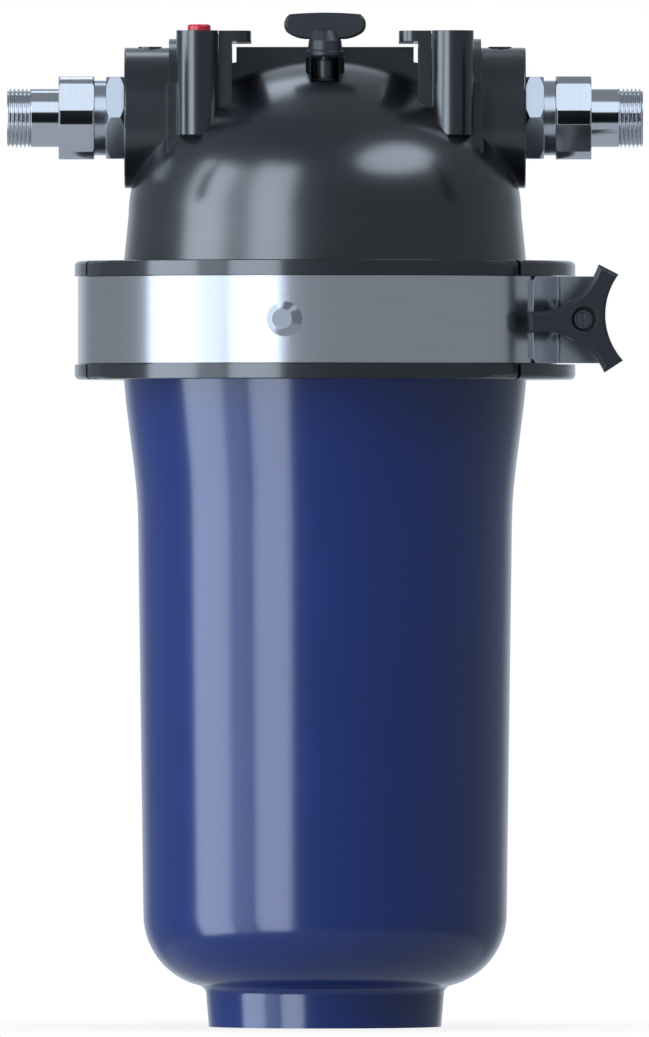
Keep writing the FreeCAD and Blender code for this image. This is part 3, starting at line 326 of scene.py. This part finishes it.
@dataclass(frozen=True)
class Moulding:
    """Moulded plastic or rubber, with a clear skin where coat is above 0.

    Gloss and coat_gloss are roughness, grain is the pebble's scale, depth and edge are
    in metres, and shade is how far the colour varies.
    """

    name: str
    colour: RGB
    gloss: float = 0.3
    spread: float = 0.06
    coat: float = 0.0
    coat_gloss: float = 0.25
    coat_ior: float = 1.5
    shine: float = 0.5
    grain: float = 900.0
    depth: float = 0.00002
    edge: float = 0.0008
    shade: float = 0.12

    def make(self, effects: Effects) -> bpy.types.Material:
        """Build the material.

        Args:
            effects: The shared groups.

        Returns:
            The finished material.
        """
        bench = MaterialBench(self.name, self.colour)
        skin = bench.group(effects.grain, Scale=self.grain)
        bench.tint(skin.outputs["Tone"], self.colour, 1 - self.shade, 1 + self.shade)
        marks = bench.group(effects.marks, Gloss=self.gloss, Spread=self.spread)
        bench.join(marks.outputs["Roughness"], bench.shader.inputs["Roughness"])
        bench.shader.inputs["Specular IOR Level"].default_value = self.shine
        bench.shader.inputs["Coat IOR"].default_value = self.coat_ior
        bench.shader.inputs["Coat Weight"].default_value = self.coat
        bench.shader.inputs["Coat Roughness"].default_value = self.coat_gloss
        edges = bench.group(effects.edges, Radius=self.edge)
        bench.relief(skin.outputs["Height"], self.depth, edges)
        return bench.material


@dataclass(frozen=True)
class Metal:
    """Turned, rolled or polished metal.

    Gloss is roughness, lines is the scale of the tool's marks, depth and edge are in
    metres, and darkest and lightest are the shares of the colour that its tone spans.
    """

    name: str
    colour: RGB
    gloss: float = 0.16
    spread: float = 0.05
    lay: Lay = Lay.NONE
    lines: float = 1400.0
    depth: float = 0.000004
    edge: float = 0.0005
    darkest: float = 0.94
    lightest: float = 1.04

    def make(self, effects: Effects) -> bpy.types.Material:
        """Build the material.

        Args:
            effects: The shared groups.

        Returns:
            The finished material.
        """
        bench = MaterialBench(self.name, self.colour)
        bench.shader.inputs["Metallic"].default_value = 1.0
        tool = bench.group(effects.worked, Stretch=self.lay.value, Scale=self.lines)
        bench.tint(tool.outputs["Tone"], self.colour, self.darkest, self.lightest)
        marks = bench.group(effects.marks, Gloss=self.gloss, Spread=self.spread)
        bench.join(marks.outputs["Roughness"], bench.shader.inputs["Roughness"])
        edges = bench.group(effects.edges, Radius=self.edge)
        bench.relief(tool.outputs["Height"], self.depth, edges)
        return bench.material


class Finishes:
    """Every finish of the strainer, and which pieces wear it."""

    def __init__(self, effects: Effects) -> None:
        """Build the materials.

        Args:
            effects: The shared groups.
        """
        steel = (0.72, 0.73, 0.76)
        black = (0.0036, 0.0046, 0.0072)
        self.bowl = Moulding("bowl_blue", (0.0018, 0.0180, 0.122), gloss=0.5, shine=0.1, coat=1.0,
                             coat_gloss=0.16, coat_ior=1.62, grain=700.0, depth=0.00001,
                             edge=0.0014).make(effects)
        self.head = Moulding("head_black", black, gloss=0.4, shine=0.2, coat=1.0, coat_gloss=0.22,
                             coat_ior=1.75, edge=0.0012).make(effects)
        self.liner = Moulding("liner_black", black, gloss=0.4, shine=0.2, coat=1.0, coat_gloss=0.14,
                              coat_ior=1.7).make(effects)
        self.knob = Moulding("knob_black", (0.02, 0.022, 0.027), gloss=0.36, grain=1500.0,
                             edge=0.0009).make(effects)
        self.rubber = Moulding("seal_rubber", (0.012, 0.012, 0.013), gloss=0.55,
                               grain=1800.0).make(effects)
        self.red = Moulding("indicator_red", linear(206, 30, 46), gloss=0.3, coat=0.4,
                            edge=0.0007).make(effects)
        self.band = Metal("band_steel", steel, gloss=0.2, lay=Lay.ROUND_THE_BOWL).make(effects)
        self.bracket = Metal("bracket_steel", (0.60, 0.63, 0.67), gloss=0.24).make(effects)
        self.bore = Metal("insert_steel", (0.16, 0.17, 0.19), gloss=0.34).make(effects)
        self.fitting = Metal("fitting_steel", steel, gloss=0.13,
                             lay=Lay.ROUND_THE_PIPE).make(effects)
        self.hexes = Metal("hexagon_steel", (0.62, 0.65, 0.70), gloss=0.2).make(effects)
        self.mesh = Metal("basket_steel", (0.6, 0.61, 0.62), gloss=0.3, lines=2200.0).make(effects)

    def for_node(self, name: str) -> bpy.types.Material:
        """The material that a CAD node wears.

        Args:
            name: The node.

        Returns:
            Its material.
        """
        starts = {
            "bowl_seal": self.rubber, "bowl": self.bowl,
            "head": self.head, "wall_bracket": self.head, "gauge_plug": self.head,
            "liner_stud": self.fitting, "liner": self.liner,
            "clamp_knob": self.knob, "knob_insert": self.bore, "clamp_bolt": self.bore,
            "clamp_band": self.band, "clamp_washer": self.bracket, "bolt_pin": self.bracket,
            "front_bracket": self.bracket, "rear_bracket": self.bracket,
            "vent_seal": self.rubber, "vent": self.knob,
            "indicator_button": self.red, "indicator_spring": self.bracket,
            "indicator_seal": self.rubber,
            "union_gasket": self.rubber, "union_nut": self.fitting, "union_body": self.hexes,
            "tailpiece": self.fitting,
            "basket_seal": self.rubber, "basket": self.mesh,
        }
        return next(made for start, made in starts.items() if name.startswith(start))

    def dress(self) -> None:
        """Give every CAD node its material."""
        for name, thing in NODES.items():
            made = self.for_node(name)
            if not thing.material_slots:
                thing.data.materials.append(made)
            for slot in thing.material_slots:
                slot.material = made
        LOG.info("%d nodes dressed", len(NODES))


@dataclass
class ThreadedTail:
    """Tailpiece of a union, with its pipe thread cut as a real helix.

    Lengths are in metres: radii from the pipe's axis, and places along it from the
    strainer's middle. The tooth is one pitch of the thread, as shares of the pitch.
    """

    bore: float = 0.014
    flange: float = 0.0184
    tube: float = 0.0164
    crest: float = 0.016625
    depth: float = 0.00148
    pitch: float = 0.002309
    start: float = 0.1424
    shoulder: float = 0.1466
    mouth: float = 0.1657
    end: float = 0.1791
    chamfer: float = 0.0012
    height: float = 0.512
    broken_edge: float = 0.0003
    relief: float = 0.0002
    sunk: float = 0.0001
    weld: float = 0.000005
    foot: float = 0.14
    top: float = 0.42
    around: int = 96
    around_thread: int = 60

    def build(self, side: int, finish: bpy.types.Material) -> bpy.types.Object:
        """Model one tailpiece.

        Args:
            side: 1 for the outlet, -1 for the inlet.
            finish: Its material.

        Returns:
            The piece, riding on the housing.
        """
        root = self.crest - self.depth
        edge, relief = self.broken_edge, self.relief
        profile = [(self.start, self.flange), (self.shoulder, self.flange),
                   (self.shoulder, self.tube), (self.mouth - edge, self.tube),
                   (self.mouth, self.tube - edge), (self.mouth, root),
                   (self.end - relief, root), (self.end, root - relief),
                   (self.end, self.bore + edge), (self.end - edge, self.bore),
                   (self.start, self.bore), (self.start, self.flange)]
        body = self._walk(side, profile)
        thread = self._thread(side)
        bpy.ops.object.select_all(action="DESELECT")
        for thing in (body, thread):
            thing.select_set(True)
        bpy.context.view_layer.objects.active = body
        bpy.ops.object.join()
        side_name = "right" if side > 0 else "left"
        body.name = body.data.name = "threaded_tailpiece_" + side_name
        bpy.ops.object.mode_set(mode="EDIT")
        bpy.ops.mesh.select_all(action="SELECT")
        bpy.ops.mesh.remove_doubles(threshold=self.weld)
        bpy.ops.mesh.normals_make_consistent(inside=False)
        bpy.ops.object.mode_set(mode="OBJECT")
        bpy.ops.object.transform_apply(location=True, rotation=True, scale=True)
        bpy.ops.object.shade_smooth_by_angle(angle=math.radians(25))
        body.data.materials.clear()
        body.data.materials.append(finish)
        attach(body, "housing")
        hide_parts("tailpiece_" + side_name)
        return body

    def _walk(self, side: int, profile: list[tuple[float, float]]) -> bpy.types.Object:
        """Extrude a circle along the pipe's axis through a list of stations.

        Args:
            side: 1 or -1.
            profile: Pairs of distance from the middle and radius.

        Returns:
            The turned body.
        """
        first, radius = profile[0]
        bpy.ops.object.select_all(action="DESELECT")
        bpy.ops.mesh.primitive_circle_add(vertices=self.around, radius=radius, fill_type="NOTHING",
                                          location=(side * first, 0, self.height),
                                          rotation=(0, math.pi / 2, 0))
        made = bpy.context.object
        bpy.ops.object.transform_apply(location=True, rotation=True, scale=True)
        bpy.ops.object.mode_set(mode="EDIT")
        bpy.ops.mesh.select_all(action="SELECT")
        here = first
        for place, size in profile[1:]:
            bpy.ops.mesh.extrude_edges_move(
                TRANSFORM_OT_translate={"value": (side * (place - here), 0, 0)})
            grow = size / radius
            bpy.ops.transform.resize(value=(1, grow, grow),
                                     center_override=(side * place, 0, self.height))
            here, radius = place, size
        bpy.ops.object.mode_set(mode="OBJECT")
        return made

    def _thread(self, side: int) -> bpy.types.Object:
        """Cut the thread as a screwed tooth, trimmed flat at both ends.

        Args:
            side: 1 or -1.

        Returns:
            The thread's surface.
        """
        root = self.crest - self.depth
        tooth = [(0.0, root - self.sunk), (self.foot, root), (self.top, self.crest),
                 (1.0 - self.top, self.crest), (1.0 - self.foot, root), (1.0, root - self.sunk)]
        first = self.mouth - 1.5 * self.pitch
        bpy.ops.object.select_all(action="DESELECT")
        bpy.ops.mesh.primitive_circle_add(vertices=len(tooth), fill_type="NOTHING")
        made = bpy.context.object
        net = bmesh.new()
        net.from_mesh(made.data)
        net.verts.ensure_lookup_table()
        closing = [e for e in net.edges if {v.index for v in e.verts} == {0, len(tooth) - 1}]
        bmesh.ops.delete(net, geom=closing, context="EDGES_FACES")
        for vertex, (share, radius) in zip(net.verts, tooth):
            vertex.co = Vector((side * (first + share * self.pitch), 0, radius))
        net.to_mesh(made.data)
        net.free()
        turns = math.ceil((self.end - first) / self.pitch) + 1
        screw = made.modifiers.new("helix", "SCREW")
        screw.axis = "X"
        screw.angle = math.tau
        screw.screw_offset = side * self.pitch
        screw.iterations = turns
        screw.steps = screw.render_steps = self.around_thread
        screw.use_merge_vertices = True
        screw.merge_threshold = self.weld
        bpy.ops.object.modifier_apply(modifier="helix")
        ends = ((self.mouth - self.relief, False), (self.end - self.sunk, True))
        for place, keep_inner in ends:
            bpy.ops.object.mode_set(mode="EDIT")
            bpy.ops.mesh.select_all(action="SELECT")
            bpy.ops.mesh.bisect(plane_co=(side * place, 0, 0), plane_no=(side, 0, 0),
                                clear_outer=keep_inner, clear_inner=not keep_inner)
            bpy.ops.object.mode_set(mode="OBJECT")
        for vertex in made.data.vertices:
            along = abs(vertex.co.x)
            cone = self.crest - max(0.0, along - (self.end - self.chamfer))
            radius = math.hypot(vertex.co.y, vertex.co.z)
            if radius > cone:
                vertex.co.y *= cone / radius
                vertex.co.z *= cone / radius
            vertex.co.z += self.height
        return made


@dataclass(frozen=True)
class Panel:
    """Soft panel that faces the strainer.

    Turn is in degrees from the front towards the outlet, rise in degrees above the
    strainer's middle, and size is its width and height in metres. On_steel and
    on_moulded are the radiance of its face for the metal and for the moulded pieces.
    """

    name: str
    turn: float
    rise: float
    size: tuple[float, float]
    on_steel: float
    on_moulded: float = 0.0


PANELS = (
    Panel("far_left", -74, 6, (1.1, 2.9), 1.9, 4.6),
    Panel("near_left", -32, 9, (0.95, 3.1), 1.9, 4.6),
    Panel("between", -53, 6, (0.5, 2.9), 1.2, 1.6),
    Panel("above_right", 54, 47, (1.7, 0.9), 0.6, 3.4),
    Panel("above_back", 20, 125, (1.0, 0.6), 1.0, 2.0),
)
OVER_FITTINGS = Panel("over_fittings", 0, 44, (1.9, 2.0), 0.95)


@dataclass
class Studio:
    """Floor, lights, surroundings and camera.

    Scale is the width in metres that the sensor spans at the strainer, and aim is the
    point that the camera looks at, as its x and z.
    """

    scale: float = 0.5844
    lens: float = 1000.0
    sensor: float = 36.0
    clip_end: float = 200.0
    aim: tuple[float, float] = (-0.0003, 0.2863)
    middle: float = 0.3
    lamp_distance: float = 2.2
    daylight: RGB = (0.74, 0.86, 1.0)
    room: RGB = (0.78, 0.88, 1.0)
    fill: float = 0.22
    floor_radius: float = 3.0
    floor_drop: float = 0.0002
    card_place: tuple[float, float, float] = (0.165, -0.10, 0.514)
    card_size: tuple[float, float] = (0.09, 0.07)

    def light(self, panel: Panel, name: str, glow: float,
              receivers: bpy.types.Collection) -> None:
        """Hang a soft panel that faces the strainer.

        Args:
            panel: Its place and size.
            name: The lamp's name.
            glow: Radiance of the panel's face.
            receivers: The pieces that it shines on.
        """
        wide, tall = panel.size
        lamp = bpy.data.lights.new(name, "AREA")
        lamp.shape = "RECTANGLE" if tall > wide else "ELLIPSE"
        lamp.color = self.daylight
        lamp.size, lamp.size_y = panel.size
        lamp.energy = glow * math.pi * wide * tall
        thing = bpy.data.objects.new(name, lamp)
        bpy.context.scene.collection.objects.link(thing)
        a, e = math.radians(panel.turn), math.radians(panel.rise)
        out = Vector((math.sin(a) * math.cos(e), -math.cos(a) * math.cos(e), math.sin(e)))
        thing.location = Vector((0, 0, self.middle)) + out * self.lamp_distance
        thing.rotation_euler = (-out).to_track_quat("-Z", "Y").to_euler()
        thing.visible_camera = False
        thing.light_linking.receiver_collection = receivers

    def lights(self, tails: list[bpy.types.Object]) -> None:
        """Hang each panel twice, for metal and for mouldings, and one for the fittings.

        Args:
            tails: The threaded tailpieces.
        """
        metals = [thing for thing in NODES.values() if metallic(thing)]
        others = [thing for thing in NODES.values() if not metallic(thing)]
        unions = [thing for name, thing in NODES.items() if name.startswith("union")]
        steel = self.receivers("steel", metals + tails)
        moulded = self.receivers("moulded", others)
        for panel in PANELS:
            self.light(panel, panel.name + "_on_steel", panel.on_steel, steel)
            self.light(panel, panel.name + "_on_moulded", panel.on_moulded, moulded)
        self.light(OVER_FITTINGS, OVER_FITTINGS.name, OVER_FITTINGS.on_steel,
                   self.receivers("fittings", unions + tails))

    def receivers(self, name: str, things: list[bpy.types.Object]) -> bpy.types.Collection:
        """Collect the pieces that a lamp shines on.

        Args:
            name: The collection's name.
            things: The pieces.

        Returns:
            The collection.
        """
        made = bpy.data.collections.new(name)
        for thing in things:
            made.objects.link(thing)
        return made

    def background(self, b: Bench, colour: RGB, strength: float) -> bpy.types.Node:
        """Add one background to the world's nodes.

        Args:
            b: The world's bench.
            colour: Its linear colour.
            strength: Its strength.

        Returns:
            The background node.
        """
        made = b.node("ShaderNodeBackground")
        made.inputs["Color"].default_value = (*colour, 1.0)
        made.inputs["Strength"].default_value = strength
        return made

    def surroundings(self) -> None:
        """White behind the strainer, and a dimmer room in front of it."""
        world = bpy.data.worlds.new("room")
        bpy.context.scene.world = world
        world.use_nodes = True
        b = Bench(world.node_tree)
        world.node_tree.nodes.clear()
        out = b.node("ShaderNodeOutputWorld")
        path = b.node("ShaderNodeLightPath")
        split = b.node("ShaderNodeSeparateXYZ")
        b.join(b.node("ShaderNodeTexCoord").outputs["Generated"], split.inputs[0])
        behind = b.ease(split.outputs["Y"], (0.8, 1.0), (0.3, 0.8))
        under = b.ease(split.outputs["Z"], (-0.2, -0.4), (0.0, 0.5))
        brighter = b.node("ShaderNodeMath", operation="MAXIMUM")
        b.join(behind, brighter.inputs[0])
        b.join(under, brighter.inputs[1])
        room = self.background(b, self.room, 1.0)
        b.join(brighter.outputs[0], room.inputs["Strength"])
        fill = self.background(b, self.room, self.fill)
        white = self.background(b, (1.0, 1.0, 1.0), 1.0)
        shiny = b.node("ShaderNodeMath", operation="MAXIMUM")
        b.join(path.outputs["Is Glossy Ray"], shiny.inputs[0])
        b.join(path.outputs["Is Transmission Ray"], shiny.inputs[1])
        first = b.node("ShaderNodeMixShader")
        b.join(shiny.outputs[0], first.inputs["Fac"])
        b.join(fill.outputs[0], first.inputs[1])
        b.join(room.outputs[0], first.inputs[2])
        last = b.node("ShaderNodeMixShader")
        b.join(path.outputs["Is Camera Ray"], last.inputs["Fac"])
        b.join(first.outputs[0], last.inputs[1])
        b.join(white.outputs[0], last.inputs[2])
        b.join(last.outputs[0], out.inputs["Surface"])

    def cards(self) -> None:
        """Two narrow dark cards that only the pipe fittings mirror."""
        finish = MaterialBench("card_black", (0.02, 0.022, 0.028))
        finish.shader.inputs["Specular IOR Level"].default_value = 0.0
        across, front, height = self.card_place
        for side in (-1, 1):
            bpy.ops.object.select_all(action="DESELECT")
            bpy.ops.mesh.primitive_plane_add(size=1.0, location=(side * across, front, height),
                                             rotation=(math.pi / 2, 0, 0))
            card = bpy.context.object
            card.name = "studio_card_right" if side > 0 else "studio_card_left"
            card.scale = (*self.card_size, 1.0)
            bpy.ops.object.transform_apply(location=True, rotation=True, scale=True)
            card.visible_camera = card.visible_diffuse = card.visible_shadow = False
            card.data.materials.append(finish.material)

    def floor(self) -> None:
        """Pale floor that keeps a soft shadow and fades to white away from the strainer."""
        bpy.ops.object.select_all(action="DESELECT")
        bpy.ops.mesh.primitive_circle_add(vertices=96, radius=self.floor_radius,
                                          fill_type="NGON", location=(0, 0, -self.floor_drop))
        ground = bpy.context.object
        ground.name = "studio_floor"
        b = MaterialBench("floor_white", (0.86, 0.87, 0.88))
        b.shader.inputs["Roughness"].default_value = 0.9
        glow = b.node("ShaderNodeEmission")
        mix = b.node("ShaderNodeMixShader")
        path = b.node("ShaderNodeLightPath")
        reach = b.node("ShaderNodeVectorMath", operation="LENGTH")
        b.join(b.place(), reach.inputs[0])
        part = b.node("ShaderNodeMath", operation="MULTIPLY")
        b.join(path.outputs["Is Camera Ray"], part.inputs[0])
        b.join(b.ease(reach.outputs["Value"], (0.06, 0.3), (0.88, 1.0)), part.inputs[1])
        b.join(part.outputs[0], mix.inputs["Fac"])
        b.join(b.shader.outputs[0], mix.inputs[1])
        b.join(glow.outputs[0], mix.inputs[2])
        b.join(mix.outputs[0], b.tree.nodes["Material Output"].inputs["Surface"])
        ground.visible_glossy = ground.visible_shadow = False
        ground.data.materials.append(b.material)

    def camera(self) -> None:
        """Long lens, level with the strainer's middle."""
        eye = bpy.data.cameras.new("camera")
        eye.lens = self.lens
        eye.sensor_width = self.sensor
        eye.clip_end = self.clip_end
        thing = bpy.data.objects.new("camera", eye)
        bpy.context.scene.collection.objects.link(thing)
        away = self.scale * self.lens / self.sensor
        thing.location = (self.aim[0], -away, self.aim[1])
        thing.rotation_euler = (math.pi / 2, 0, 0)
        bpy.context.scene.camera = thing
        bpy.context.scene.view_settings.view_transform = "Standard"


def main() -> None:
    """Dress the strainer, cut its threads and set up the studio."""
    logging.basicConfig(level=logging.INFO, format="%(name)s: %(message)s")
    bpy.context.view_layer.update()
    finishes = Finishes(Effects())
    finishes.dress()
    tails = [ThreadedTail().build(side, finishes.fitting) for side in (-1, 1)]
    LOG.info("threaded tailpieces: %d faces each", len(tails[0].data.polygons))
    studio = Studio()
    studio.camera()
    studio.floor()
    studio.cards()
    studio.lights(tails)
    studio.surroundings()


if __name__ == "__main__":
    main()
